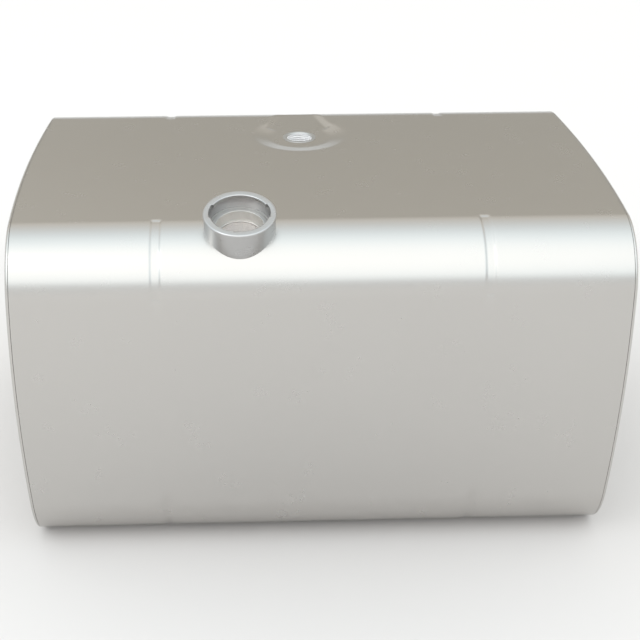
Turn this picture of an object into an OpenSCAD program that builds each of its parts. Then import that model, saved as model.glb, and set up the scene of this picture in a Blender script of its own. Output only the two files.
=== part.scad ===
// Fresh water tank: a welded stainless sheet tank with a bayonet filler neck.
// X runs along the tank, the front faces -Y and Z is up.
// The origin is the centre of the flat underside.

/* [Tank body] */
// Overall length between the crowns of the two domed ends
tank_length = 674; // [600:1:760]
// Depth from the front face to the rear face
tank_depth = 447; // [420:1:520]
// Height of the body without the neck
tank_height = 376; // [340:1:440]
// Outer radius of the four long edges
edge_radius = 62.5; // [56:0.5:68]
// Spherical radius of the domed ends
dome_radius = 2200; // [1800:50:3000]
// Thickness of the sheet metal
sheet = 2; // [1.5:0.1:3]

/* [Band seats and baffles] */
// Distance of each band seat from the middle of the tank
band_offset = 170.5; // [140:0.5:200]
// Width of the pressed groove that holds a band
band_width = 13; // [10:0.5:20]
// How much larger the edge radius is inside a groove
band_radius_step = 4; // [3:0.5:8]
// Thickness of a baffle plate
baffle_sheet = 1.5; // [1:0.1:2]
// Width of the flange around a baffle
baffle_flange = 12; // [8:1:16]
// Radius of the large hole in a baffle
baffle_hole_radius = 84; // [60:1:95]

/* [Filler neck] */
// Distance of the neck from the middle of the tank
neck_x = -84; // [-110:1:-60]
// Forward tilt of the neck from vertical, in degrees
neck_tilt = 14.5; // [10:0.5:20]
// Height of the rim above the rounded edge
neck_rise = 18.3; // [14:0.1:26]
// Outer radius of the neck
neck_radius = 37.6; // [36:0.1:40]
// Radius of the bore under the lip
neck_bore_radius = 32; // [31.5:0.1:33]
// Radius of the opening inside the bayonet lip
lip_radius = 30; // [29.8:0.1:30.5]
// Thickness of the bayonet lip
lip_thickness = 4.5; // [3:0.5:6]
// Length of the neck along its axis
neck_length = 62; // [50:1:70]

/* [Strainer] */
// Depth of the strainer flange below the rim
strainer_depth = 16.5; // [14:0.5:20]
// Depth from the flange to the screen
cup_depth = 13.3; // [10:0.1:18]
// Inner radius of the strainer cup
cup_radius = 24.8; // [22:0.1:25]
// Outer radius of the strainer flange
flange_radius = 29.4; // [28.5:0.1:29.6]

/* [Top port] */
// Position of the dish along the tank
dish_x = -10; // [-40:1:40]
// Position of the dish behind the middle of the tank
dish_y = 95.5; // [60:0.5:100]
// Outer radius of the pressed dish
dish_radius = 59; // [50:1:60]
// Radius of the flat floor of the dish
dish_floor_radius = 39; // [30:1:42]
// Depth of the pressed dish
dish_depth = 3.6; // [2:0.1:5]
// Outer radius of the threaded boss
port_radius = 20; // [18:0.5:24]
// Bore radius of the threaded boss
port_bore_radius = 15.1; // [12:0.1:16]

/* [Rear fittings] */
// Distance of the outlet from the middle of the tank
outlet_x = -215; // [-250:1:-190]
// Distance of the drain from the middle of the tank
drain_x = 215; // [190:1:250]
// Height of the outlet axis
outlet_z = 82; // [75:1:120]
// Height of the drain axis
drain_z = 76; // [72:1:120]
// Bore radius of the outlet socket
outlet_bore_radius = 12.1; // [9:0.1:15]
// Thread radius of the drain plug
drain_bore_radius = 9.5; // [8:0.1:12]
// Height of the welded seam across the rear face
seam_z = 150; // [120:1:250]

/* [Hidden] */

$fn = 96;
dome_facets = 360;
cut = 1;                            // how far a cutter runs past the face it cuts
half_length = tank_length / 2;
rear_y = tank_depth / 2;
edge_y = rear_y - edge_radius;      // axes of the rounded edges
edge_z = tank_height - edge_radius;
inner_depth = tank_depth - 2 * sheet;
inner_height = tank_height - 2 * sheet;
inner_radius = edge_radius - sheet;
band_radius = edge_radius + band_radius_step;
cap_skirt = 16;                     // length of the end cap's skirt inside the wrapper
cap_reach = 60;                     // length of tank that holds an end cap
rim_z = edge_radius + neck_rise;    // rim height above the axis of the rounded edge
notch_radius = 32;                  // outer radius of the bayonet notches
notch_behind = 27;                  // the notch's angle behind the side, in degrees
notch_ahead = 13;                   // the notch's angle ahead of the side, in degrees
seat_thickness = 2;
seal_thickness = 1;
seat_shoulder_radius = 29.8;        // inner radius of the shoulder that centres the strainer
flange_thickness = 1;
cup_wall = 0.8;
cup_gap = 0.8;                      // play between the cup and the seat's hole
seat_hole_radius = cup_radius + cup_wall + cup_gap;
screen_thickness = 0.6;
flange_z = rim_z - strainer_depth - flange_thickness;   // underside of the strainer's flange
screen_z = flange_z + flange_thickness - cup_depth - screen_thickness;
screen_hole_radius = 1.6;
screen_pitch = 5;
screen_rings = 4;
retainer_radius = 22.4;             // inner radius of the ring that holds the screen
retainer_thickness = 1.2;
channel_front_half = 39;            // half width of the dish's run-out at the dish
channel_rear_half = 23;             // and at the rear edge
channel_start = 30;                 // where the run-out leaves the dish, behind its middle
channel_end = 90;                   // where it runs out of the rear edge
port_rise = 0.6;                    // how far the boss stands above the dish floor
port_length = 24;
port_chamfer = 2.5;                 // width of the bevel around the boss's mouth
port_chamfer_depth = 1.5;
outlet_radius = 18;
outlet_length = 34;
outlet_reach = 14;                  // how far the outlet stands out of the rear face
drain_radius = 16;
drain_length = 28;
drain_reach = 7;
weld_leg = 4;
washer_thickness = 1.5;
washer_gap = 0.3;                   // play between the washer and the plug's shank
plug_head_height = 8;
plug_head_radius = 15;
plug_overhang = 1;                  // how far the corners of the plug's head pass the washer
plug_length = 16;
plug_clearance = 0.05;
plug_recess_radius = 6;
seam_width = 6;
seam_rise = 0.8;
steel = [0.72, 0.71, 0.69];
inner_steel = [0.62, 0.62, 0.61];
screen_metal = [0.76, 0.72, 0.68];
silicone_white = [0.75, 0.75, 0.72];
washer_black = [0.13, 0.13, 0.14];

// A bar along X with four rounded long edges, standing on z = base
module rounded_bar(length, depth, height, radius, base = 0) {
    translate([0, 0, base + height / 2]) {
        cube([length, depth - 2 * radius, height], center = true);
        cube([length, depth, height - 2 * radius], center = true);
        for (side_y = [-1, 1], side_z = [-1, 1])
            translate([0, side_y * (depth / 2 - radius), side_z * (height / 2 - radius)])
                rotate([0, 90, 0]) cylinder(h = length, r = radius, center = true);
    }
}

// The ball whose surface is the right end's dome, drawn in by inset
module dome_ball(inset) {
    translate([half_length - dome_radius, 0, tank_height / 2])
        sphere(r = dome_radius - inset, $fn = dome_facets);
}

// The pressed dish and its run-out to the rear edge, grown by extra on every side
module dish_shape(extra) {
    top = tank_height + cut;
    floor_z = tank_height - dish_depth - extra;
    slope = (dish_radius - dish_floor_radius) / dish_depth;
    translate([dish_x, dish_y, floor_z])
        cylinder(h = top - floor_z, r1 = dish_floor_radius + extra,
                 r2 = dish_floor_radius + extra + slope * (top - floor_z));
    translate([dish_x, dish_y, floor_z])
        linear_extrude(height = top - floor_z)
            polygon([[-channel_front_half - extra, channel_start - extra],
                     [channel_front_half + extra, channel_start - extra],
                     [channel_rear_half + extra, channel_end + extra],
                     [-channel_rear_half - extra, channel_end + extra]]);
}

// One pressed groove around the rounded edges: the part of the bar that it takes away
module band_groove(width, depth, height, outer_radius, floor_radius, base) {
    difference() {
        rounded_bar(width, depth, height, outer_radius, base);
        rounded_bar(width + 2 * cut, depth, height, floor_radius, base);
    }
}

module wrapper_outside() {
    difference() {
        rounded_bar(tank_length, tank_depth, tank_height, edge_radius);
        for (side = [-1, 1])
            translate([side * band_offset, 0, 0])
                band_groove(band_width, tank_depth, tank_height, edge_radius, band_radius, 0);
        dish_shape(0);
    }
}

module wrapper_inside() {
    difference() {
        rounded_bar(tank_length + 2 * cut, inner_depth, inner_height, inner_radius, sheet);
        for (side = [-1, 1])
            translate([side * band_offset, 0, 0])
                band_groove(band_width + 2 * sheet, inner_depth, inner_height, inner_radius,
                            band_radius - sheet, sheet);
        dish_shape(sheet);
    }
}

// Children are placed on the neck's axis, with z measured from the rounded edge's axis
module at_neck() {
    translate([neck_x, -edge_y, edge_z]) rotate([neck_tilt, 0, 0]) children();
}

// Children are placed on a rear fitting's axis, with z measured out of the rear face
module at_rear(x, z) {
    translate([x, rear_y, z]) rotate([-90, 0, 0]) children();
}

module ring(inner, outer, height) {
    difference() {
        cylinder(h = height, r = outer);
        translate([0, 0, -cut]) cylinder(h = height + 2 * cut, r = inner);
    }
}

module tank_wrapper() {
    color(steel) difference() {
        intersection() {
            wrapper_outside();
            dome_ball(sheet);
            mirror([1, 0, 0]) dome_ball(sheet);
        }
        wrapper_inside();
        at_neck() translate([0, 0, edge_radius / 2]) cylinder(h = edge_radius, r = neck_radius);
        translate([dish_x, dish_y, tank_height - port_length]) cylinder(h = 2 * port_length, r = port_radius);
        at_rear(outlet_x, outlet_z) cylinder(h = 4 * sheet, r = outlet_radius, center = true);
        at_rear(drain_x, drain_z) cylinder(h = 4 * sheet, r = drain_radius, center = true);
    }
}

// The right end: a domed plate with a skirt that fits inside the wrapper
module end_cap() {
    difference() {
        intersection() {
            translate([half_length - cap_reach / 2, 0, 0])
                rounded_bar(cap_reach, tank_depth, tank_height, edge_radius);
            dome_ball(0);
        }
        dome_ball(sheet);
    }
    intersection() {
        difference() {
            translate([half_length - cap_reach / 2, 0, 0])
                rounded_bar(cap_reach, inner_depth, inner_height, inner_radius, sheet);
            translate([half_length - cap_reach / 2, 0, 0])
                rounded_bar(cap_reach + 2 * cut, inner_depth - 2 * sheet, inner_height - 2 * sheet,
                            inner_radius - sheet, 2 * sheet);
        }
        difference() {
            dome_ball(sheet);
            dome_ball(sheet + cap_skirt);
        }
    }
}

module left_end_cap() {
    color(steel) mirror([1, 0, 0]) end_cap();
}

module right_end_cap() {
    color(steel) end_cap();
}

// A flanged plate across the tank with holes that slow the water
module baffle() {
    hole_y = 135;
    hole_z = 105;
    small_hole = 28;
    notch = [4 * baffle_flange, 60, 24];
    plate_x = -baffle_sheet / 2;
    difference() {
        union() {
            rounded_bar(baffle_sheet, inner_depth, inner_height, band_radius - sheet, sheet);
            translate([plate_x + baffle_flange / 2, 0, 0]) difference() {
                rounded_bar(baffle_flange, inner_depth, inner_height, band_radius - sheet, sheet);
                rounded_bar(baffle_flange + 2 * cut, inner_depth - 2 * baffle_sheet,
                            inner_height - 2 * baffle_sheet, band_radius - sheet - baffle_sheet,
                            sheet + baffle_sheet);
            }
        }
        translate([0, 0, tank_height / 2]) rotate([0, 90, 0]) {
            cylinder(h = 4 * baffle_flange, r = baffle_hole_radius, center = true);
            for (side_y = [-1, 1], side_z = [-1, 1])
                translate([side_z * hole_z, side_y * hole_y, 0])
                    cylinder(h = 4 * baffle_flange, r = small_hole, center = true);
        }
        for (z = [sheet, tank_height - sheet]) translate([0, 0, z]) cube(notch, center = true);
    }
}

module left_baffle() {
    color(inner_steel) translate([-band_offset, 0, 0]) mirror([1, 0, 0]) baffle();
}

module right_baffle() {
    color(inner_steel) translate([band_offset, 0, 0]) baffle();
}

// A wedge of the lip, from one angle to another
module notch_wedge(from_angle, to_angle) {
    far = 2 * neck_radius;
    linear_extrude(height = lip_thickness + 2 * cut)
        polygon([[0, 0], [far * cos(from_angle), far * sin(from_angle)],
                 [far * cos(to_angle), far * sin(to_angle)]]);
}

module filler_neck() {
    color(steel) at_neck() difference() {
        translate([0, 0, rim_z - neck_length]) cylinder(h = neck_length, r = neck_radius);
        translate([0, 0, rim_z - neck_length - cut])
            cylinder(h = neck_length - lip_thickness + cut, r = neck_bore_radius);
        translate([0, 0, rim_z - 2 * lip_thickness]) cylinder(h = 3 * lip_thickness, r = lip_radius);
        translate([0, 0, rim_z - lip_thickness - cut]) intersection() {
            cylinder(h = lip_thickness + 2 * cut, r = notch_radius);
            union() {
                notch_wedge(-notch_ahead, notch_behind);
                notch_wedge(180 - notch_behind, 180 + notch_ahead);
            }
        }
    }
}

module neck_seat_ring() {
    seat_z = flange_z - seal_thickness - seat_thickness;
    color(steel) at_neck() {
        translate([0, 0, seat_z]) ring(seat_hole_radius, neck_bore_radius, seat_thickness);
        translate([0, 0, seat_z])
            ring(seat_shoulder_radius, neck_bore_radius,
                 seat_thickness + seal_thickness + flange_thickness);
    }
}

module strainer_seal() {
    color(silicone_white) at_neck() translate([0, 0, flange_z - seal_thickness])
        ring(seat_hole_radius, flange_radius, seal_thickness);
}

module strainer_cup() {
    color(steel) at_neck() {
        translate([0, 0, flange_z]) ring(cup_radius, flange_radius, flange_thickness);
        translate([0, 0, screen_z]) ring(cup_radius, cup_radius + cup_wall, flange_z - screen_z);
        translate([0, 0, screen_z - cup_wall]) ring(retainer_radius, cup_radius + cup_wall, cup_wall);
    }
}

module strainer_screen() {
    color(screen_metal) at_neck() translate([0, 0, screen_z]) difference() {
        cylinder(h = screen_thickness, r = cup_radius);
        for (column = [-screen_rings : screen_rings], row = [-screen_rings : screen_rings])
            if (abs(column + row) <= screen_rings)
                translate([(column + row / 2) * screen_pitch, row * screen_pitch * sqrt(3) / 2, -cut])
                    cylinder(h = screen_thickness + 2 * cut, r = screen_hole_radius, $fn = 24);
    }
}

module screen_retaining_ring() {
    color(steel) at_neck() translate([0, 0, screen_z + screen_thickness])
        ring(retainer_radius, cup_radius, retainer_thickness);
}

module top_port_boss() {
    top = tank_height - dish_depth + port_rise;
    color(steel) translate([dish_x, dish_y, top - port_length]) difference() {
        ring(port_bore_radius, port_radius, port_length);
        translate([0, 0, port_length - port_chamfer_depth])
            cylinder(h = port_chamfer_depth, r1 = port_bore_radius,
                     r2 = port_bore_radius + port_chamfer);
    }
}

module outlet_socket() {
    color(steel) at_rear(outlet_x, outlet_z) translate([0, 0, outlet_reach - outlet_length])
        ring(outlet_bore_radius, outlet_radius, outlet_length);
}

// A weld fillet around a fitting on the rear face
module fillet_weld(radius) {
    rotate_extrude() polygon([[radius, 0], [radius + weld_leg, 0], [radius, weld_leg]]);
}

module outlet_weld() {
    color(inner_steel) at_rear(outlet_x, outlet_z) fillet_weld(outlet_radius);
}

module drain_socket() {
    color(steel) at_rear(drain_x, drain_z) translate([0, 0, drain_reach - drain_length])
        ring(drain_bore_radius, drain_radius, drain_length);
}

module drain_weld() {
    color(inner_steel) at_rear(drain_x, drain_z) fillet_weld(drain_radius);
}

module drain_washer() {
    color(washer_black) at_rear(drain_x, drain_z) translate([0, 0, drain_reach])
        ring(drain_bore_radius + washer_gap, plug_head_radius - plug_overhang, washer_thickness);
}

module drain_plug() {
    head_z = drain_reach + washer_thickness;
    color(steel) at_rear(drain_x, drain_z) {
        difference() {
            translate([0, 0, head_z]) cylinder(h = plug_head_height, r = plug_head_radius, $fn = 6);
            translate([0, 0, head_z + plug_head_height / 2])
                cylinder(h = plug_head_height, r = plug_recess_radius);
        }
        translate([0, 0, head_z - plug_length])
            cylinder(h = plug_length, r = drain_bore_radius - plug_clearance);
    }
}

// The ground butt weld that closes the wrapper, between the two end caps
module rear_seam_weld() {
    color(inner_steel) intersection() {
        translate([0, rear_y + seam_rise / 2, seam_z])
            cube([tank_length, seam_rise, seam_width], center = true);
        dome_ball(sheet);
        mirror([1, 0, 0]) dome_ball(sheet);
    }
}

tank_wrapper();
left_end_cap();
right_end_cap();
left_baffle();
right_baffle();
filler_neck();
neck_seat_ring();
strainer_seal();
strainer_cup();
strainer_screen();
screen_retaining_ring();
top_port_boss();
outlet_socket();
outlet_weld();
drain_socket();
drain_weld();
drain_washer();
drain_plug();
rear_seam_weld();
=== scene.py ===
"""Looks of the fresh water tank: smooth sheet metal, turned fittings, woven strainer and studio."""

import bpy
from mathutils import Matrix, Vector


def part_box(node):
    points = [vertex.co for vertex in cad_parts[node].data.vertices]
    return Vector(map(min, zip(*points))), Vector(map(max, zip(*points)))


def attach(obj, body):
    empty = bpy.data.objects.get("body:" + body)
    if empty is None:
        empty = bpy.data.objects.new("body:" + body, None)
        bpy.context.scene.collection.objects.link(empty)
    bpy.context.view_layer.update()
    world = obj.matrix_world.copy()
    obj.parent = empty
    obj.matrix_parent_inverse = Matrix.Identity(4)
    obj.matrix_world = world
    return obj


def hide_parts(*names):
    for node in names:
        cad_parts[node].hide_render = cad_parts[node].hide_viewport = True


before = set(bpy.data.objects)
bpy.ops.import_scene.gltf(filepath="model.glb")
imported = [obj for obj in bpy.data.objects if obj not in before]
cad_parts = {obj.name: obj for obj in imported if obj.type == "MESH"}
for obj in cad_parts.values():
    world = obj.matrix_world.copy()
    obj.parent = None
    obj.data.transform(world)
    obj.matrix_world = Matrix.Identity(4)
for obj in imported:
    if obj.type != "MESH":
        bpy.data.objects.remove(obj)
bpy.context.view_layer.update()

import math

import bpy
import numpy as np
from mathutils import Matrix, Vector

MM = 0.001
TURN = 2 * math.pi
TINY = 1e-9

# ---------------------------------------------------------------- driving sizes, in metres
cap_low, cap_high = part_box("right_end_cap")
DEPTH = cap_high[1] - cap_low[1]
HEIGHT = cap_high[2] - cap_low[2]
HALF_LENGTH = cap_high[0]
MIDDLE_Z = HEIGHT / 2
EDGE_RADIUS = 62.5 * MM
DOME_RADIUS = 2200 * MM
SHEET = 2 * MM
END_FILLET = 3 * MM
SEAM_LAND = 0.6 * MM
SEAM_GAP = 0.12 * MM
SEAM_CHAMFER = 0.25 * MM
CAP_SKIRT = 15 * MM
CAP_BEND = 1.2 * MM
CAP_CLEARANCE = 0.05 * MM
CAP_SHEET = SHEET * 0.95

BAND_X = 170.5 * MM
BAND_WIDTH = 13 * MM
BAND_WALL = 3.4 * MM
BAND_DEPTH = 1.1 * MM
BAND_RUN_OUT = 5 * MM

boss_low, boss_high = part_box("top_port_boss")
DISH_X = (boss_low[0] + boss_high[0]) / 2
DISH_Y = (boss_low[1] + boss_high[1]) / 2
DISH_RADIUS = 59 * MM
DISH_FLOOR_RADIUS = 39 * MM
DISH_DEPTH = 3.6 * MM
CHANNEL_START = 38.5 * MM
CHANNEL_HALF = 37 * MM
CHANNEL_TAPER = 0.27
CHANNEL_WALL = 6 * MM
CHANNEL_ONSET = 12 * MM
CHANNEL_FULL = 34 * MM
DISH_AND_CHANNEL_BLEND = 0.12
DISH_SHOULDER = 0.10
DISH_RIM_BLEND = 0.5 * MM

NECK_TILT = math.radians(14.5)
NECK_X = -84 * MM
NECK_RIM = EDGE_RADIUS + 18.3 * MM
NECK_RADIUS = 37.6 * MM
NECK_WALL_RADIUS = 36.9 * MM
NECK_BORE = 32 * MM
NECK_LENGTH = 62 * MM
COLLAR_FOOT = 3.3 * MM
COLLAR_STEP = 2.9 * MM
LIP_RADIUS = 30 * MM
LIP_THICKNESS = 4.5 * MM

# Each hole in the visible sheet ends inside the wall of its fitting
NECK_HOLE = 35 * MM
PORT_HOLE = 17.5 * MM
OUTLET_HOLE = 15 * MM
DRAIN_HOLE = 13 * MM

REAR_Y = DEPTH / 2
EDGE_Y = REAR_Y - EDGE_RADIUS
EDGE_Z = HEIGHT - EDGE_RADIUS


# ---------------------------------------------------------------- small geometry helpers
def smoothstep(low, high, value):
    t = np.clip((value - low) / (high - low), 0.0, 1.0)
    return t * t * (3 - 2 * t)


def smooth_max(a, b, width):
    return 0.5 * (a + b + np.sqrt((a - b) ** 2 + width ** 2)) - 0.5 * width


def make_object(name, verts, faces, material, body, nodes=(), sharp_angle=35):
    """A mesh piece with smooth shading and sharp edges above an angle, riding on its body."""
    mesh = bpy.data.meshes.new(name)
    mesh.from_pydata([tuple(map(float, v)) for v in verts], [], faces)
    mesh.validate()
    mesh.polygons.foreach_set("use_smooth", [True] * len(mesh.polygons))
    if sharp_angle:
        mesh.set_sharp_from_angle(angle=math.radians(sharp_angle))
    mesh.materials.append(material)
    piece = bpy.data.objects.new(name, mesh)
    bpy.context.scene.collection.objects.link(piece)
    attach(piece, body)
    if nodes:
        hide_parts(*nodes)
    return piece


def apply_modifier(piece, kind, **settings):
    """Adds one modifier and applies it to the mesh."""
    modifier = piece.modifiers.new(kind.lower(), kind)
    for key, value in settings.items():
        setattr(modifier, key, value)
    evaluated = piece.evaluated_get(bpy.context.evaluated_depsgraph_get())
    mesh = bpy.data.meshes.new_from_object(evaluated)
    piece.modifiers.clear()
    piece.data = mesh
    return piece


def rounded_outline(corners, steps=5):
    """A closed outline of (r, z) points; each corner is (r, z, radius) and its arc is filled in."""
    outline = []
    count = len(corners)
    for i, (r, z, radius) in enumerate(corners):
        here = Vector((r, z))
        before = Vector(corners[i - 1][:2]) - here
        after = Vector(corners[(i + 1) % count][:2]) - here
        if radius <= 0:
            outline.append((r, z))
            continue
        before.normalize()
        after.normalize()
        half = before.angle(after) / 2
        reach = radius / math.tan(half)
        centre = here + (before + after).normalized() * (radius / math.sin(half))
        first = here + before * reach - centre
        last = here + after * reach - centre
        for step in range(steps + 1):
            t = step / steps
            arm = (first * (1 - t) + last * t).normalized() * radius
            outline.append((centre.x + arm.x, centre.y + arm.y))
    return outline


def grid_faces(rows, columns, wrap_rows, wrap_columns, flip=False):
    faces = []
    for i in range(rows if wrap_rows else rows - 1):
        for j in range(columns if wrap_columns else columns - 1):
            a = i * columns + j
            b = i * columns + (j + 1) % columns
            c = ((i + 1) % rows) * columns + (j + 1) % columns
            d = ((i + 1) % rows) * columns + j
            faces.append((a, d, c, b) if flip else (a, b, c, d))
    return faces


def lathe(outline, angles, place, radius_of=None):
    """Turns a closed (r, z) outline about the local Z axis; place maps it to the row frame."""
    verts = []
    for angle in angles:
        for r, z in outline:
            if radius_of:
                r = radius_of(angle, r, z)
            verts.append(place @ Vector((r * math.cos(angle), r * math.sin(angle), z)))
    return verts, grid_faces(len(angles), len(outline), True, True, flip=True)


def even_angles(count):
    return [TURN * i / count for i in range(count)]


def paint_inside(piece, place, radius, top):
    """Gives the faces of a bore the piece's second material: painted shade in the neck's bore,
    painted light in the port's.
    """
    to_axis = place.inverted()
    for polygon in piece.data.polygons:
        x, y, z = to_axis @ polygon.center
        if math.hypot(x, y) < radius and z < top:
            polygon.material_index = 1


AT_NECK = (Matrix.Translation((NECK_X, -EDGE_Y, EDGE_Z)) @ Matrix.Rotation(NECK_TILT, 4, "X"))
DISH_FLOOR_Z = HEIGHT - DISH_DEPTH
AT_BOSS = Matrix.Translation((DISH_X, DISH_Y, DISH_FLOOR_Z))


def at_rear(node):
    """Local Z points out of the rear face, on the axis of a fitting."""
    low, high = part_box(node)
    middle = ((low[0] + high[0]) / 2, REAR_Y, (low[2] + high[2]) / 2)
    return Matrix.Translation(middle) @ Matrix.Rotation(-math.pi / 2, 4, "X")


# ---------------------------------------------------------------- the tank's rounded outline
FLAT_Y = DEPTH - 2 * EDGE_RADIUS
FLAT_Z = HEIGHT - 2 * EDGE_RADIUS
ARC = EDGE_RADIUS * math.pi / 2
# The outline runs from the middle of the underside to the front, up, back and down again
LEGS = [FLAT_Y / 2, ARC, FLAT_Z, ARC, FLAT_Y, ARC, FLAT_Z, ARC, FLAT_Y / 2]
STOPS = np.concatenate([[0], np.cumsum(LEGS)])
PERIMETER = STOPS[-1]
TOP_START = STOPS[4]
REAR_START = STOPS[6]


def outline_at(s):
    """Position (y, z) and outward normal (ny, nz) of the outline at distances s."""
    s = np.mod(s, PERIMETER)
    leg = np.clip(np.searchsorted(STOPS, s, side="right") - 1, 0, 8)
    t = s - STOPS[leg]
    turn = t / EDGE_RADIUS
    e, f, low, high = EDGE_Y, EDGE_RADIUS, EDGE_RADIUS, EDGE_Z
    sin, cos = np.sin(turn), np.cos(turn)
    zero, one = np.zeros_like(s), np.ones_like(s)
    choose = [
        (-t, zero, zero, -one),
        (-e - f * sin, low - f * cos, -sin, -cos),
        (-(e + f) * one, low + t, -one, zero),
        (-e - f * cos, high + f * sin, -cos, sin),
        (-e + t, HEIGHT * one, zero, one),
        (e + f * sin, high + f * cos, sin, cos),
        ((e + f) * one, high - t, one, zero),
        (e + f * cos, low - f * sin, cos, -sin),
        (e - t, zero, zero, -one),
    ]
    return [np.choose(leg, [c[k] for c in choose]) for k in range(4)]


def dome_x(y, z):
    """X of the right end's domed face."""
    return (HALF_LENGTH - DOME_RADIUS
            + np.sqrt(DOME_RADIUS ** 2 - y ** 2 - (z - MIDDLE_Z) ** 2))


def wrapper_end(s):
    """X where the wrapper meets the end cap."""
    y, z, ny, nz = outline_at(s)
    return dome_x(y - END_FILLET * ny, z - END_FILLET * nz) - END_FILLET - SEAM_LAND


def groove_depth(x, y, z):
    """How far the band grooves draw the sheet in: an even depth that runs out at each end."""
    across = np.abs(y) - EDGE_Y
    up = np.abs(z - MIDDLE_Z) - (MIDDLE_Z - EDGE_RADIUS)
    to_end = EDGE_RADIUS * np.arctan2(np.minimum(across, up), np.maximum(across, up))
    deep = BAND_DEPTH * smoothstep(-BAND_RUN_OUT / 2, BAND_RUN_OUT / 2, to_end)
    off = np.abs(np.abs(x) - BAND_X)
    return deep * (1 - smoothstep(BAND_WIDTH / 2 - BAND_WALL, BAND_WIDTH / 2, off))


def dish_fill(x, y):
    """1 on the floor of the dish and its run-out, 0 outside."""
    dx, dy = x - DISH_X, y - DISH_Y
    wall = (DISH_RADIUS - np.hypot(dx, dy)) / (DISH_RADIUS - DISH_FLOOR_RADIUS)
    half = CHANNEL_HALF - CHANNEL_TAPER * (dy - CHANNEL_START)
    channel = (half + CHANNEL_WALL / 2 - np.abs(dx)) / CHANNEL_WALL
    channel = np.where(dy > 0, channel, -1.0)
    onset = smoothstep(CHANNEL_ONSET, CHANNEL_FULL, dy)
    channel = channel * onset - (1 - onset)
    fill = smooth_max(np.clip(wall, -1, 1.5), np.clip(channel, -1, 1.5),
                      DISH_AND_CHANNEL_BLEND)
    # rounded shoulders at the rim and at the floor
    fill = smooth_max(fill, 0.0, DISH_SHOULDER)
    return 1 - smooth_max(1 - fill, 0.0, DISH_SHOULDER)


def wrapper_point(x, s):
    """The outside surface of the wrapper, as an array of points."""
    y, z, ny, nz = outline_at(s)
    deep = groove_depth(x, y, z)
    y, z = y - ny * deep, z - nz * deep
    near_top = (z > EDGE_Z + EDGE_RADIUS * 0.6) & (y > 0)
    floor = HEIGHT - DISH_DEPTH * dish_fill(x, y)
    lowered = -smooth_max(-z, -floor, DISH_RIM_BLEND)
    inside = dish_fill(x, y) > 1e-4
    z = np.where(near_top & inside, np.minimum(z, lowered), z)
    return np.stack([x, y, z], axis=-1)


SHORTEST_STEP = 0.01 * MM


def lines_between(low, high, step, fine):
    """Grid lines from low to high at step, closer inside the (from, to, step) ranges in fine."""
    values = [low]
    while values[-1] < high - TINY:
        here = values[-1]
        size = step
        for start, end, small in fine:
            if start - TINY <= here < end - TINY:
                size = min(size, small)
            elif here < start:
                size = min(size, max(start - here, SHORTEST_STEP))
        values.append(min(here + size, high))
    return values


# ---------------------------------------------------------------- materials
def new_material(name):
    material = bpy.data.materials.new(name)
    material.use_nodes = True
    tree = material.node_tree
    shader = tree.nodes["Principled BSDF"]
    coords = tree.nodes.new("ShaderNodeTexCoord")
    return material, tree, shader, coords.outputs["Object"]


def noise(tree, vector, scale, detail=3.0, stretch=None):
    """A noise value at scale per metre; stretch lengthens it along the axes."""
    if stretch:
        mapping = tree.nodes.new("ShaderNodeMapping")
        mapping.inputs["Scale"].default_value = stretch
        tree.links.new(vector, mapping.inputs["Vector"])
        vector = mapping.outputs["Vector"]
    node = tree.nodes.new("ShaderNodeTexNoise")
    node.inputs["Scale"].default_value = scale
    node.inputs["Detail"].default_value = detail
    tree.links.new(vector, node.inputs["Vector"])
    return node.outputs["Fac"]


def ramp(tree, value, stops):
    """Maps a value to colours; stops are (position, (r, g, b))."""
    node = tree.nodes.new("ShaderNodeValToRGB")
    elements = node.color_ramp.elements
    elements[0].position, elements[0].color = stops[0][0], (*stops[0][1], 1)
    elements[1].position, elements[1].color = stops[-1][0], (*stops[-1][1], 1)
    for position, colour in stops[1:-1]:
        elements.new(position).color = (*colour, 1)
    tree.links.new(value, node.inputs["Fac"])
    return node.outputs["Color"]


def spread(tree, value, low, high, from_low=0.3, from_high=0.7):
    """Maps a noise value to the range low to high."""
    node = tree.nodes.new("ShaderNodeMapRange")
    node.inputs["From Min"].default_value = from_low
    node.inputs["From Max"].default_value = from_high
    node.inputs["To Min"].default_value = low
    node.inputs["To Max"].default_value = high
    tree.links.new(value, node.inputs["Value"])
    return node.outputs["Result"]


def add_values(tree, first, second, weight):
    node = tree.nodes.new("ShaderNodeMath")
    node.operation = "MULTIPLY_ADD"
    tree.links.new(second, node.inputs[0])
    node.inputs[1].default_value = weight
    tree.links.new(first, node.inputs[2])
    return node.outputs["Value"]


def add_bump(tree, shader, height, strength, distance):
    bump = tree.nodes.new("ShaderNodeBump")
    bump.inputs["Strength"].default_value = strength
    bump.inputs["Distance"].default_value = distance
    tree.links.new(height, bump.inputs["Height"])
    tree.links.new(bump.outputs["Normal"], shader.inputs["Normal"])


def tinted(colour, factor):
    return tuple(c * factor for c in colour)


DRIFT_SCALE, MARK_SCALE = 7, 38
METAL_BUMP, SEAL_BUMP = 0.2 * MM, 0.1 * MM


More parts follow.
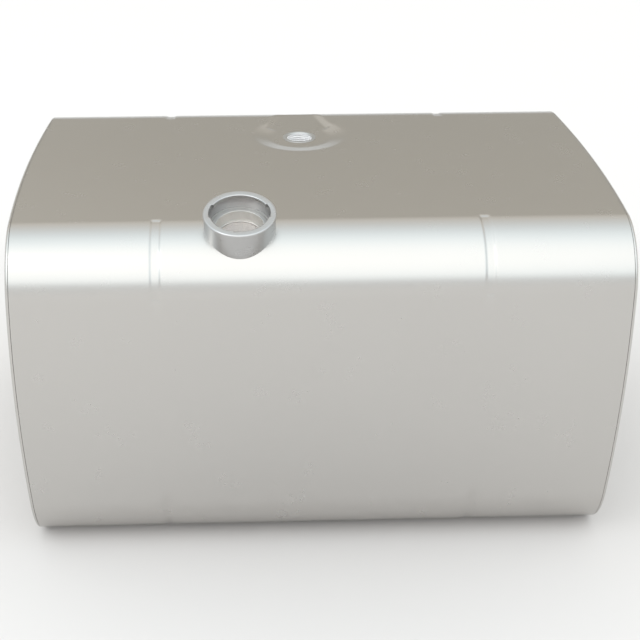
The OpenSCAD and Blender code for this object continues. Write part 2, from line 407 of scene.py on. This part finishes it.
def metal(name, colour, roughness, vary=0.03, grain=900, grain_stretch=None, bump=0.04,
          gloss_vary=0.08):
    """Satin metal: a fine grain, faint handling marks in the gloss and a slow drift of colour."""
    material, tree, shader, where = new_material(name)
    shader.inputs["Metallic"].default_value = 1.0
    shader.inputs["IOR"].default_value = 1.5
    drift = noise(tree, where, DRIFT_SCALE, 2)
    fine = noise(tree, where, grain, 4, grain_stretch)
    marks = noise(tree, where, MARK_SCALE, 5)
    mixed = add_values(tree, drift, fine, 0.25)
    colours = ramp(tree, spread(tree, mixed, 0, 1, 0.40, 0.85),
                   [(0.0, tinted(colour, 1 - vary)), (1.0, tinted(colour, 1 + vary))])
    tree.links.new(colours, shader.inputs["Base Color"])
    gloss = add_values(tree, marks, fine, 0.5)
    tree.links.new(spread(tree, gloss, roughness * (1 - gloss_vary),
                          roughness * (1 + gloss_vary), 0.45, 1.05),
                   shader.inputs["Roughness"])
    add_bump(tree, shader, fine, bump, METAL_BUMP)
    return material


def weld_metal(name, colour):
    """Weld bead: rougher than the sheet, with straw and grey heat colours in patches."""
    material, tree, shader, where = new_material(name)
    shader.inputs["Metallic"].default_value = 1.0
    patch = noise(tree, where, 120, 4)
    colours = ramp(tree, spread(tree, patch, 0, 1),
                   [(0.0, tinted(colour, 0.82)), (0.5, colour),
                    (1.0, (colour[0] * 1.08, colour[1] * 1.0, colour[2] * 0.86))])
    tree.links.new(colours, shader.inputs["Base Color"])
    tree.links.new(spread(tree, noise(tree, where, 400, 4), 0.32, 0.5), shader.inputs["Roughness"])
    add_bump(tree, shader, noise(tree, where, 1500, 3), 0.12, METAL_BUMP)
    return material


def silicone(name, colour, roughness):
    material, tree, shader, where = new_material(name)
    shader.inputs["Metallic"].default_value = 0.0
    speck = noise(tree, where, 900, 3)
    colours = ramp(tree, spread(tree, speck, 0, 1),
                   [(0.0, tinted(colour, 0.92)), (1.0, tinted(colour, 1.06))])
    tree.links.new(colours, shader.inputs["Base Color"])
    tree.links.new(spread(tree, noise(tree, where, 300, 3), roughness * 0.9, roughness * 1.1),
                   shader.inputs["Roughness"])
    add_bump(tree, shader, speck, 0.1, SEAL_BUMP)
    return material


FLOOR_GREY = (0.735, 0.700, 0.682)


def floor_material():
    """Pale matt floor with a painted shadow: its colour is darker round the tank than further out.
    """
    material, tree, shader, where = new_material("pale_floor")
    reach = tree.nodes.new("ShaderNodeVectorMath")
    reach.operation = "LENGTH"
    tree.links.new(where, reach.inputs[0])
    # painted shadow: the colour falls to 80 % close to the tank, standing in for the shade round
    # its foot
    colours = ramp(tree, spread(tree, reach.outputs["Value"], 0, 1, 0.2, 0.9),
                   [(0.0, tinted(FLOOR_GREY, 0.80)), (0.5, tinted(FLOOR_GREY, 0.93)),
                    (1.0, FLOOR_GREY)])
    tree.links.new(colours, shader.inputs["Base Color"])
    shader.inputs["Roughness"].default_value = 0.9
    shader.inputs["Specular IOR Level"].default_value = 0.1
    return material


SHEET_STEEL = metal("satin_sheet", (0.540, 0.525, 0.505), 0.27, vary=0.006, grain=220,
                    bump=0.003, gloss_vary=0.02)
INNER_STEEL = metal("mill_sheet", (0.56, 0.56, 0.55), 0.38, grain=600)
NECK_STEEL = metal("turned_neck", (0.50, 0.495, 0.49), 0.28, vary=0.02,
                   grain=500, grain_stretch=(0.12, 0.12, 3.0))
CUP_STEEL = metal("pressed_cup", (0.78, 0.775, 0.745), 0.36, vary=0.02)
# painted shade: a darker, rougher copy of the neck's steel, given to the inside of its bore
SHADED_NECK_BORE_STEEL = metal("neck_bore_painted_shade", (0.41, 0.395, 0.395), 0.42, vary=0.03)
PORT_STEEL = metal("port_collar", (0.46, 0.455, 0.445), 0.42, vary=0.02)
# painted light: a near-white, rough copy of the port collar's steel, given to the inside of its
# bore
PAINTED_LIGHT_PORT_BORE = metal("port_bore_painted_light", (0.95, 0.94, 0.94), 0.7, vary=0.02)
WIRE_STEEL = metal("screen_wire", (0.90, 0.85, 0.82), 0.5, vary=0.03, grain=1500)
CLAMP_STEEL = metal("clamp_ring", (0.62, 0.59, 0.57), 0.5, vary=0.03, grain=1200)
FITTING_STEEL = metal("turned_fitting", (0.62, 0.61, 0.60), 0.34, vary=0.03,
                      grain=500, grain_stretch=(0.15, 3.0, 0.15))
PLUG_STEEL = metal("plug_steel", (0.60, 0.60, 0.59), 0.30, vary=0.04)
WELD = weld_metal("weld_bead", (0.55, 0.54, 0.52))
SEAL = silicone("food_silicone", (0.72, 0.71, 0.68), 0.45)
WASHER = silicone("black_washer", (0.035, 0.035, 0.038), 0.55)


# ---------------------------------------------------------------- the wrapper
def fitting_centre(node):
    low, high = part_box(node)
    return (low[0] + high[0]) / 2, (low[2] + high[2]) / 2


OUTLET_X, OUTLET_Z = fitting_centre("outlet_socket")
DRAIN_X, DRAIN_Z = fitting_centre("drain_socket")


def near(centre, reach, step):
    return centre - reach, centre + reach, step


def top_line(y):
    return TOP_START + y + EDGE_Y


def rear_line(z):
    return REAR_START + EDGE_Z - z


# Spacing of the grid: on flat sheet, on curves and fittings, round the neck and dish, on grooves
COARSE, CURVED, FINE, FINEST = 12 * MM, 2 * MM, 1.5 * MM, 0.8 * MM
NECK_AREA_END = -125 * MM
DISH_AREA = 64 * MM
ABOVE_OUTLET, BELOW_DRAIN = 26 * MM, 12 * MM
GROOVE_REACH, DISH_REACH, NECK_REACH, FITTING_REACH = 8 * MM, 66 * MM, 40 * MM, 20 * MM

S_LINES = np.array(lines_between(0, PERIMETER, COARSE, [
    (STOPS[1], STOPS[2], CURVED),
    (STOPS[3], top_line(NECK_AREA_END), FINE),
    (top_line(DISH_Y - DISH_AREA), STOPS[6], FINE),
    (rear_line(OUTLET_Z + ABOVE_OUTLET), rear_line(DRAIN_Z - BELOW_DRAIN), CURVED),
    (STOPS[7], STOPS[8], CURVED),
])[:-1])
X_FLAT = 298 * MM
X_MIDDLE = lines_between(-X_FLAT, X_FLAT, COARSE, [
    near(-BAND_X, GROOVE_REACH, FINEST), near(BAND_X, GROOVE_REACH, FINEST),
    near(DISH_X, DISH_REACH, FINE), near(NECK_X, NECK_REACH, FINE),
    near(OUTLET_X, FITTING_REACH, CURVED), near(DRAIN_X, FITTING_REACH, CURVED),
])
END_STEPS = [0.25, 0.5, 0.72, 0.88, 0.96, 0.985, 1.0]
SEAM_DIP = 0.3 * MM
NECK_START = 20 * MM
FAR_AWAY = 1.0
SETTLE_ROUNDS = 8


def neck_distance(points):
    """Distance from the neck's axis, for points near the neck."""
    base = np.array((NECK_X, -EDGE_Y, EDGE_Z))
    axis = np.array((0, -math.sin(NECK_TILT), math.cos(NECK_TILT)))
    arm = points - base
    along = arm @ axis
    away = np.linalg.norm(arm - along[..., None] * axis, axis=-1)
    return np.where(along > NECK_START, away, FAR_AWAY)


def boss_distance(points):
    away = np.hypot(points[..., 0] - DISH_X, points[..., 1] - DISH_Y)
    return np.where(points[..., 2] > MIDDLE_Z, away, FAR_AWAY)


def rear_distance(x, z):
    def distance(points):
        away = np.hypot(points[..., 0] - x, points[..., 2] - z)
        return np.where(points[..., 1] > 0, away, FAR_AWAY)
    return distance


HOLES = [
    (NECK_X, STOPS[4] - NECK_TILT * EDGE_RADIUS, neck_distance, NECK_HOLE),
    (DISH_X, top_line(DISH_Y), boss_distance, PORT_HOLE),
    (OUTLET_X, rear_line(OUTLET_Z), rear_distance(OUTLET_X, OUTLET_Z), OUTLET_HOLE),
    (DRAIN_X, rear_line(DRAIN_Z), rear_distance(DRAIN_X, DRAIN_Z), DRAIN_HOLE),
]


def build_wrapper():
    end = wrapper_end(S_LINES)[:, None]
    steps = np.array(END_STEPS)[None, :]
    middle = np.broadcast_to(np.array(X_MIDDLE)[None, :], (len(S_LINES), len(X_MIDDLE)))
    outer = X_FLAT + (end - X_FLAT) * steps
    x = np.concatenate([-outer[:, ::-1], middle, outer], axis=1)
    s = np.broadcast_to(S_LINES[:, None], x.shape).copy()
    points = wrapper_point(x, s)
    rows, columns = x.shape
    faces = np.array(grid_faces(rows, columns, True, False))
    x_flat, s_flat = x.ravel().copy(), s.ravel()
    flat = points.reshape(-1, 3)
    for x0, s0, distance, radius in HOLES:
        inside = distance(flat) < radius
        faces = faces[~inside[faces].all(axis=1)]
        edge = np.unique(faces[inside[faces]])
        dx, ds = x_flat[edge] - x0, s_flat[edge] - s0
        # draw the points at the edge of the hole onto its circle
        for _ in range(SETTLE_ROUNDS):
            gain = radius / distance(wrapper_point(x0 + dx, s0 + ds))
            dx, ds = dx * gain, ds * gain
        flat[edge] = wrapper_point(x0 + dx, s0 + ds)
    # the very end dips a little, to meet the end cap in a fine seam
    _, _, ny, nz = outline_at(s)
    grid = flat.reshape(rows, columns, 3)
    for column in (0, columns - 1):
        grid[:, column, 1] -= SEAM_DIP * ny[:, column]
        grid[:, column, 2] -= SEAM_DIP * nz[:, column]
    used = np.unique(faces)
    index = np.full(len(flat), -1)
    index[used] = np.arange(len(used))
    piece = make_object("wrapper_skin", flat[used], index[faces].tolist(), SHEET_STEEL,
                        "tank", ["tank_wrapper"], sharp_angle=0)
    return apply_modifier(piece, "SOLIDIFY", thickness=SHEET, offset=-1.0, use_even_offset=True)


# ---------------------------------------------------------------- the end caps
FILLET_STEPS = 8
DOME_STEPS = [0.985, 0.95, 0.89, 0.81, 0.71, 0.60, 0.48, 0.36, 0.25, 0.15, 0.07, 0.02]


def build_end_cap(side):
    y, z, ny, nz = outline_at(S_LINES)
    end = wrapper_end(S_LINES)
    tuck = SHEET + CAP_CLEARANCE
    rows = []

    def add_row(x, inset):
        rows.append(np.stack([side * x, y - inset * ny, z - inset * nz], axis=-1))

    add_row(end - CAP_SKIRT, tuck)
    add_row(end - CAP_BEND, tuck)
    add_row(end + SEAM_GAP, tuck)
    add_row(end + SEAM_GAP, SEAM_DIP)
    add_row(end + SEAM_GAP + SEAM_CHAMFER, 0)
    for step in range(FILLET_STEPS + 1):
        turn = math.pi / 2 * step / FILLET_STEPS
        add_row(end + SEAM_LAND + END_FILLET * math.sin(turn), END_FILLET * (1 - math.cos(turn)))
    rim_y, rim_z = y - END_FILLET * ny, z - END_FILLET * nz
    for scale in DOME_STEPS:
        yy, zz = rim_y * scale, MIDDLE_Z + (rim_z - MIDDLE_Z) * scale
        rows.append(np.stack([side * dome_x(yy, zz), yy, zz], axis=-1))
    count = len(S_LINES)
    faces = grid_faces(len(rows), count, False, True, flip=side > 0)
    verts = np.concatenate(rows + [np.array([[side * HALF_LENGTH, 0, MIDDLE_Z]])])
    last, centre = (len(rows) - 1) * count, len(verts) - 1
    for j in range(count):
        pair = (last + j, last + (j + 1) % count)
        faces.append((*pair[::-1], centre) if side > 0 else (*pair, centre))
    name = "right_end" if side > 0 else "left_end"
    piece = make_object(name + "_dome", verts, faces, SHEET_STEEL, "tank",
                        [name + "_cap"], sharp_angle=60)
    return apply_modifier(piece, "SOLIDIFY", thickness=CAP_SHEET, offset=-1.0)


# ---------------------------------------------------------------- the filler neck and strainer
NOTCH_SPANS = [(-13, 27), (153, 193)]
NOTCH_SOFT = 1.2
NOTCH_MARKS = (-0.7, -0.45, -0.2, 0, 0.2, 0.45, 0.7)
NECK_SEGMENTS = 216


def notch_amount(angle):
    """1 inside a bayonet notch and 0 on the lip."""
    degrees = math.degrees(angle)
    amount = 0.0
    for start, stop in NOTCH_SPANS:
        for shift in (-360, 0, 360):
            here = degrees + shift
            rise = smoothstep(start - NOTCH_SOFT / 2, start + NOTCH_SOFT / 2, here)
            fall = smoothstep(stop - NOTCH_SOFT / 2, stop + NOTCH_SOFT / 2, here)
            amount = max(amount, float(rise * (1 - fall)))
    return amount


def build_neck():
    rim = NECK_RIM
    outline = rounded_outline([
        (NECK_WALL_RADIUS, rim - NECK_LENGTH, 0.4 * MM),
        (NECK_WALL_RADIUS, rim - COLLAR_FOOT, 0.3 * MM),
        (NECK_RADIUS, rim - COLLAR_STEP, 0.35 * MM),
        (NECK_RADIUS, rim, 1.5 * MM),
        (LIP_RADIUS, rim, 1.1 * MM),
        (LIP_RADIUS, rim - LIP_THICKNESS, 0.5 * MM),
        (NECK_BORE, rim - LIP_THICKNESS, 0.6 * MM),
        (NECK_BORE, rim - NECK_LENGTH, 0.4 * MM),
    ], steps=6)
    marks = [edge + offset for span in NOTCH_SPANS for edge in span
             for offset in NOTCH_MARKS]
    angles = sorted(set(even_angles(NECK_SEGMENTS)) | {math.radians(m % 360) for m in marks})
    left_in = 0.15                       # share of the lip that is left inside a notch
    amounts = {angle: notch_amount(angle) for angle in angles}

    def radius_of(angle, r, z):
        if r >= NECK_BORE or z < rim - LIP_THICKNESS - 0.1 * MM:
            return r
        return r + (NECK_BORE - r) * (1 - left_in) * amounts[angle]

    verts, faces = lathe(outline, angles, AT_NECK, radius_of)
    piece = make_object("neck_collar", verts, faces, NECK_STEEL, "tank",
                        ["filler_neck"])
    # painted shade: the faces inside the bore take the darker copy of the neck's steel
    piece.data.materials.append(SHADED_NECK_BORE_STEEL)
    paint_inside(piece, AT_NECK, NECK_BORE + SEAM_GAP, rim - LIP_THICKNESS)
    return piece


STRAINER_DROP = 16.5 * MM
SCREEN_DROP = 13.3 * MM
SCREEN_THICKNESS = 0.6 * MM
CLAMP_HEIGHT = 1.2 * MM
CLAMP_CLEARANCE = 0.05 * MM
STRAINER_TOP = NECK_RIM - STRAINER_DROP
FLANGE = 1 * MM
FLANGE_UNDER = STRAINER_TOP - FLANGE
FLANGE_RADIUS = 29.4 * MM
CUP_RADIUS = 24.8 * MM
CUP_WALL = 0.8 * MM
SCREEN_TOP = STRAINER_TOP - SCREEN_DROP
SCREEN_Z = SCREEN_TOP - SCREEN_THICKNESS
RETAINER = 22.4 * MM
SEAT_HOLE = 26.4 * MM
SEAT_SHOULDER = 29.8 * MM
SEAL_THICKNESS = 1 * MM
SEAT_THICKNESS = 2 * MM


def build_turned(name, corners, place, material, body, nodes, count=144):
    verts, faces = lathe(rounded_outline(corners), even_angles(count), place)
    return make_object(name, verts, faces, material, body, nodes)


def build_strainer():
    build_turned("strainer_shell", [
        (CUP_RADIUS, STRAINER_TOP, 0.35 * MM), (FLANGE_RADIUS, STRAINER_TOP, 0.3 * MM),
        (FLANGE_RADIUS, FLANGE_UNDER, 0.3 * MM), (CUP_RADIUS + CUP_WALL, FLANGE_UNDER, 0.3 * MM),
        (CUP_RADIUS + CUP_WALL, SCREEN_Z - CUP_WALL, 0.6 * MM),
        (RETAINER, SCREEN_Z - CUP_WALL, 0.2 * MM), (RETAINER, SCREEN_Z, 0.2 * MM),
        (CUP_RADIUS, SCREEN_Z, 0.1 * MM),
    ], AT_NECK, CUP_STEEL, "strainer", ["strainer_cup"])
    build_turned("screen_clamp_ring", [
        (RETAINER, SCREEN_TOP, 0.25 * MM), (CUP_RADIUS - CLAMP_CLEARANCE, SCREEN_TOP, 0.25 * MM),
        (CUP_RADIUS - CLAMP_CLEARANCE, SCREEN_TOP + CLAMP_HEIGHT, 0.3 * MM),
        (RETAINER, SCREEN_TOP + CLAMP_HEIGHT, 0.4 * MM),
    ], AT_NECK, CLAMP_STEEL, "strainer", ["screen_retaining_ring"])
    build_turned("seat_ledge", [
        (SEAT_HOLE, FLANGE_UNDER - SEAL_THICKNESS - SEAT_THICKNESS, 0.3 * MM),
        (NECK_BORE, FLANGE_UNDER - SEAL_THICKNESS - SEAT_THICKNESS, 0),
        (NECK_BORE, STRAINER_TOP, 0.2 * MM), (SEAT_SHOULDER, STRAINER_TOP, 0.15 * MM),
        (SEAT_SHOULDER, FLANGE_UNDER - SEAL_THICKNESS, 0),
        (SEAT_HOLE, FLANGE_UNDER - SEAL_THICKNESS, 0.3 * MM),
    ], AT_NECK, CUP_STEEL, "tank", ["neck_seat_ring"])
    build_turned("flange_seal", [
        (SEAT_HOLE, FLANGE_UNDER - SEAL_THICKNESS, 0.2 * MM),
        (FLANGE_RADIUS, FLANGE_UNDER - SEAL_THICKNESS, 0.2 * MM),
        (FLANGE_RADIUS, FLANGE_UNDER, 0.2 * MM), (SEAT_HOLE, FLANGE_UNDER, 0.2 * MM),
    ], AT_NECK, SEAL, "tank", ["strainer_seal"])


def build_screen():
    """Plain woven wire cloth: two sets of wires that pass over and under each other."""
    pitch, wire, lift, edge_gap = 1.2 * MM, 0.26 * MM, 0.2 * MM, 0.5 * MM
    reach = CUP_RADIUS - edge_gap
    sides, per_pitch = 6, 4
    middle = SCREEN_Z + SCREEN_THICKNESS / 2
    verts, faces = [], []
    count = int(reach / pitch)
    for along_x in (True, False):
        for line in range(-count, count + 1):
            across = line * pitch
            half = math.sqrt(max(reach ** 2 - across ** 2, 0))
            rings = max(int(2 * half / pitch * per_pitch), 4)
            first = len(verts)
            for ring in range(rings + 1):
                t = -half + 2 * half * ring / rings
                phase = math.pi * (t / pitch + line + (0 if along_x else 1))
                rise = lift * math.cos(phase)
                for corner in range(sides):
                    turn = TURN * corner / sides
                    out = across + wire * math.cos(turn)
                    up = middle + rise + wire * math.sin(turn)
                    verts.append(AT_NECK @ Vector((t, out, up) if along_x else (out, t, up)))
            for ring in range(rings):
                for corner in range(sides):
                    a = first + ring * sides + corner
                    b = first + ring * sides + (corner + 1) % sides
                    quad = (a, b, b + sides, a + sides)
                    faces.append(quad if along_x else quad[::-1])
            ends = [list(range(first, first + sides)),
                    list(range(first + rings * sides, first + rings * sides + sides))]
            faces.append(ends[0][::-1] if along_x else ends[0])
            faces.append(ends[1] if along_x else ends[1][::-1])
    return make_object("woven_screen", verts, faces, WIRE_STEEL, "strainer",
                       ["strainer_screen"])


# ---------------------------------------------------------------- threaded fittings
G1_PITCH, G34_PITCH = 2.309 * MM, 1.814 * MM
STEPS_PER_PITCH = 8
THREAD_EASE = 2 * MM
FITTING_DEPTH = 1.1 * MM


def thread_height(z, angle, pitch):
    """0 at the thread's crest and 1 at its root, with small flats."""
    t = (z / pitch - angle / TURN) % 1.0
    return float(np.clip(abs(t - 0.5) * 2.6 - 0.3, 0, 1))


def build_threaded_ring(name, bore, outer, low, high, pitch, depth, place, nodes,
                        chamfer=1.2 * MM, mouth=1.4 * MM, material=FITTING_STEEL,
                        bore_material=None):
    """A turned socket with an internal thread; local Z points out of its mouth."""
    lead = 1.5 * MM
    corners = [
        (bore + depth, low, 0), (outer, low, 0.5 * MM), (outer, high, chamfer),
        (bore + mouth, high, 0.3 * MM), (bore, high - lead, 0),
    ]
    outline = rounded_outline(corners)
    steps = int((high - lead - low - THREAD_EASE) / pitch * STEPS_PER_PITCH)
    for step in range(1, steps + 1):
        outline.append((bore, high - lead - step * pitch / STEPS_PER_PITCH))
    last = outline[-1][1]

    def radius_of(angle, r, z):
        if abs(r - bore) > 1e-7:
            return r
        ease = (smoothstep(0, THREAD_EASE, high - lead - z)
                * smoothstep(0, THREAD_EASE, z - last))
        return bore + depth * thread_height(z, angle, pitch) * float(ease)

    verts, faces = lathe(outline, even_angles(120), place, radius_of)
    piece = make_object(name, verts, faces, material, "tank", nodes,
                        sharp_angle=40)
    if bore_material:
        piece.data.materials.append(bore_material)
        paint_inside(piece, place, bore + depth + SEAM_GAP, high - lead)
    return piece


def build_weld_ring(name, radius, place, node, ripples):
    """A fillet weld with overlapping ripples around a fitting."""
    leg, root, ripple_depth = 3.9 * MM, 0.3 * MM, 0.45 * MM
    outline = [(radius - root, -root), (radius + leg, -root), (radius + leg, 0.1 * MM),
               (radius + 0.80 * leg, 0.34 * leg), (radius + 0.60 * leg, 0.58 * leg),
               (radius + 0.34 * leg, 0.80 * leg), (radius + 0.1 * MM, leg),
               (radius - root, leg)]

    def radius_of(angle, r, z):
        swell = abs(math.sin(angle * ripples / 2))
        bulge = 1 - abs(z / leg - 0.5) * 2
        return r - ripple_depth * (1 - swell) * max(bulge, 0) * (r > radius)

    verts, faces = lathe(outline, even_angles(ripples * 6), place, radius_of)
    return make_object(name, verts, faces, WELD, "tank", [node], sharp_angle=60)


def build_plug():
    """Hex head with a turned chamfer and a recess, and a threaded shank."""
    place = at_rear("drain_plug")
    head, height, head_radius = 8.5 * MM, 8 * MM, 15 * MM
    recess, recess_depth, core = 6 * MM, 4 * MM, 0.2 * MM
    top_chamfer, under_chamfer = 1.9 * MM, 0.9 * MM
    flats = head_radius * math.cos(math.pi / 6)
    top = head + height
    outline = rounded_outline([
        (recess, top - recess_depth, 0.4 * MM), (recess, top, 0.5 * MM),
        (flats - 0.3 * MM, top, 0), (head_radius, top - top_chamfer, 0),
        (head_radius, head + under_chamfer, 0), (flats, head, 0), (core, head, 0),
        (core, top - recess_depth, 0),
    ])

    def hex_radius(angle, r, z):
        sector = angle % (math.pi / 3) - math.pi / 6
        return min(r, flats / math.cos(sector))

    verts, faces = lathe(outline, even_angles(144), place, hex_radius)
    shank, length, relief, tip = 9.45 * MM, 16 * MM, 2 * MM, 1.5 * MM
    threaded = length - 4 * MM
    steps = int(threaded / G34_PITCH * STEPS_PER_PITCH)
    bottom = head - length
    outline = [(core, head), (shank - FITTING_DEPTH, head),
               (shank - FITTING_DEPTH, head - relief)]
    outline += [(shank, head - relief - threaded * k / steps) for k in range(steps + 1)]
    outline += [(shank - tip, bottom), (core, bottom)]

    def thread_radius(angle, r, z):
        if abs(r - shank) > 1e-7:
            return r
        return shank - FITTING_DEPTH * thread_height(z, angle, G34_PITCH)

    more, more_faces = lathe(outline, even_angles(96), place, thread_radius)
    base = len(verts)
    faces += [tuple(base + i for i in face) for face in more_faces]
    return make_object("drain_plug_hex", verts + more, faces, PLUG_STEEL, "plug",
                       ["drain_plug"], sharp_angle=40)


def build_rear_seam():
    """The ground butt weld across the rear face, with the ghost of its ripples."""
    low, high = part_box("rear_seam_weld")
    middle, half = (low[2] + high[2]) / 2, (high[2] - low[2]) / 2 * 0.95
    reach = float(wrapper_end(np.array([rear_line(middle)]))[0]) - 0.5 * MM
    crown_height, ripple_height = 0.5 * MM, 0.10 * MM
    ripple_length, ripple_lag, root = 3.6 * MM, 2.2 * MM, 0.3 * MM
    columns = int(2 * reach / (1.2 * MM))
    across = [-1, -0.82, -0.5, -0.2, 0.2, 0.5, 0.82, 1]
    verts = []
    for i in range(columns + 1):
        x = -reach + 2 * reach * i / columns
        for v in across:
            crown = crown_height * math.sqrt(max(1 - v * v, 0))
            ripple = ripple_height * math.sin(TURN * (x + ripple_lag * v * v) / ripple_length)
            verts.append((x, REAR_Y + max(crown + ripple * (1 - v * v), 0), middle + half * v))
        verts.append((x, REAR_Y - root, middle + half))
        verts.append((x, REAR_Y - root, middle - half))
    ring = len(across) + 2
    faces = grid_faces(columns + 1, ring, False, True)
    faces += [tuple(range(ring))[::-1], tuple(columns * ring + k for k in range(ring))]
    return make_object("seam_bead", verts, faces, WELD, "tank",
                       ["rear_seam_weld"], sharp_angle=60)


# ---------------------------------------------------------------- studio
CAMERA_PLACE = (-0.0794, -1.2970, 0.8710)
CAMERA_PITCH, CAMERA_YAW, CAMERA_ROLL = (math.radians(a) for a in (28.40, 1.755, 0.142))
CAMERA_LENS, CAMERA_SHIFT = 67.04, 0.0656
FLOOR_HALF, FLOOR_DROP = 30.0, 0.5 * MM


def build_camera():
    """Looks down on the front of the tank, from a little left of its middle."""
    camera = bpy.data.cameras.new("camera")
    camera.sensor_width = 36
    camera.lens = CAMERA_LENS
    camera.shift_x = CAMERA_SHIFT
    camera.clip_end = 100
    holder = bpy.data.objects.new("camera", camera)
    turn = (Matrix.Rotation(-CAMERA_YAW, 3, "Z")
            @ Matrix.Rotation(math.pi / 2 - CAMERA_PITCH, 3, "X")
            @ Matrix.Rotation(-CAMERA_ROLL, 3, "Z"))
    holder.matrix_world = Matrix.Translation(CAMERA_PLACE) @ turn.to_4x4()
    bpy.context.scene.collection.objects.link(holder)
    bpy.context.scene.camera = holder


def build_floor():
    size = FLOOR_HALF
    mesh = bpy.data.meshes.new("floor")
    mesh.from_pydata([(-size, -size, 0), (size, -size, 0), (size, size, 0), (-size, size, 0)],
                     [], [(0, 1, 2, 3)])
    mesh.materials.append(floor_material())
    floor = bpy.data.objects.new("floor", mesh)
    floor.location.z = -FLOOR_DROP
    bpy.context.scene.collection.objects.link(floor)


# Brightness of the studio against the angle from the big soft light, as (cosine, colour)
SKY = [(-1.0, (0.30, 0.285, 0.25)), (-0.38, (0.46, 0.435, 0.37)), (-0.18, (0.92, 0.88, 0.80)),
       (0.14, (1.00, 1.03, 1.02)), (0.47, (1.24, 1.36, 1.42)), (0.74, (1.58, 1.72, 1.78)),
       (0.88, (1.80, 1.88, 1.90)), (1.0, (1.92, 1.96, 1.97))]
SKY_STRENGTH = 2.4
# The even backdrop above the floor. It is whole up to BACKDROP_TOP and gone at BACKDROP_FADE,
# both as the sine of the height angle.
BACKDROP = (0.94, 0.97, 0.98)
BACKDROP_TOP, BACKDROP_FADE = 0.13, 0.22
SOFT_LIGHT_TILT = math.radians(43)
SOFT_LIGHT_SIDE = -0.10
KEY_SIZE, KEY_ENERGY = 1.2, 7
KEY_PLACE, KEY_AIM = (-1.5, -1.3, 2.1), (0, 0, 0.25)


def build_world():
    world = bpy.data.worlds.new("studio")
    bpy.context.scene.world = world
    world.use_nodes = True
    tree = world.node_tree
    coords = tree.nodes.new("ShaderNodeTexCoord")
    dot = tree.nodes.new("ShaderNodeVectorMath")
    dot.operation = "DOT_PRODUCT"
    soft_light = Vector((SOFT_LIGHT_SIDE, -math.sin(SOFT_LIGHT_TILT), math.cos(SOFT_LIGHT_TILT)))
    dot.inputs[1].default_value = soft_light.normalized()
    tree.links.new(coords.outputs["Generated"], dot.inputs[0])
    stops = [((cosine + 1) / 2, tinted(colour, 1 / SKY_STRENGTH)) for cosine, colour in SKY]
    level = spread(tree, dot.outputs["Value"], 0, 1, -1, 1)
    sky = ramp(tree, level, stops)
    split = tree.nodes.new("ShaderNodeSeparateXYZ")
    tree.links.new(coords.outputs["Generated"], split.inputs["Vector"])
    mix = tree.nodes.new("ShaderNodeMix")
    mix.data_type = "RGBA"
    tree.links.new(spread(tree, split.outputs["Z"], 1, 0, BACKDROP_TOP, BACKDROP_FADE),
                   mix.inputs["Factor"])
    tree.links.new(sky, mix.inputs["A"])
    mix.inputs["B"].default_value = (*tinted(BACKDROP, 1 / SKY_STRENGTH), 1)
    background = tree.nodes["Background"]
    tree.links.new(mix.outputs["Result"], background.inputs["Color"])
    background.inputs["Strength"].default_value = SKY_STRENGTH


def build_key_light():
    light = bpy.data.lights.new("key", "AREA")
    light.shape = "DISK"
    light.size = KEY_SIZE
    light.energy = KEY_ENERGY
    holder = bpy.data.objects.new("key", light)
    holder.location = KEY_PLACE
    aim = Vector(KEY_AIM) - holder.location
    holder.rotation_euler = aim.to_track_quat("-Z", "Y").to_euler()
    bpy.context.scene.collection.objects.link(holder)


# ---------------------------------------------------------------- everything in place
build_camera()
build_floor()
build_world()
build_key_light()
bpy.context.scene.view_settings.view_transform = "Standard"

build_wrapper()
build_end_cap(-1)
build_end_cap(1)
build_neck()
build_strainer()
build_screen()
for node in ("left_baffle", "right_baffle"):
    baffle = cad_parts[node]
    baffle.material_slots[0].material = INNER_STEEL

PORT_THREAD, PORT_OUTSIDE, PORT_THREAD_DEPTH = 15.1 * MM, 20 * MM, 0.3 * MM
OUTLET_THREAD, OUTLET_OUTSIDE, OUTLET_INNER_END, OUTLET_FACE = (
    12.1 * MM, 18 * MM, -20 * MM, 14 * MM)
DRAIN_THREAD, DRAIN_OUTSIDE, DRAIN_INNER_END, DRAIN_FACE = 9.5 * MM, 16 * MM, -21 * MM, 7 * MM
WASHER_INSIDE, WASHER_OUTSIDE, WASHER_TOP, WASHER_EDGE = 9.8 * MM, 14 * MM, 8.5 * MM, 0.3 * MM

# painted light: the port collar's bore takes the near-white copy of its steel
build_threaded_ring("port_collar", PORT_THREAD, PORT_OUTSIDE, boss_low[2] - DISH_FLOOR_Z,
                    boss_high[2] - DISH_FLOOR_Z, G1_PITCH, PORT_THREAD_DEPTH, AT_BOSS,
                    ["top_port_boss"], chamfer=0.4 * MM, mouth=1.5 * MM, material=PORT_STEEL,
                    bore_material=PAINTED_LIGHT_PORT_BORE)
build_threaded_ring("outlet_coupling", OUTLET_THREAD, OUTLET_OUTSIDE, OUTLET_INNER_END,
                    OUTLET_FACE, G34_PITCH, FITTING_DEPTH, at_rear("outlet_socket"),
                    ["outlet_socket"])
build_threaded_ring("drain_coupling", DRAIN_THREAD, DRAIN_OUTSIDE, DRAIN_INNER_END,
                    DRAIN_FACE, G34_PITCH, FITTING_DEPTH, at_rear("drain_socket"),
                    ["drain_socket"], chamfer=0.8 * MM)
build_weld_ring("outlet_bead", OUTLET_OUTSIDE, at_rear("outlet_socket"), "outlet_weld", 44)
build_weld_ring("drain_bead", DRAIN_OUTSIDE, at_rear("drain_socket"), "drain_weld", 40)
build_turned("sealing_washer", [
    (WASHER_INSIDE, DRAIN_FACE, WASHER_EDGE), (WASHER_OUTSIDE, DRAIN_FACE, WASHER_EDGE),
    (WASHER_OUTSIDE, WASHER_TOP, WASHER_EDGE), (WASHER_INSIDE, WASHER_TOP, WASHER_EDGE),
], at_rear("drain_washer"), WASHER, "washer", ["drain_washer"])
build_plug()
build_rear_seam()
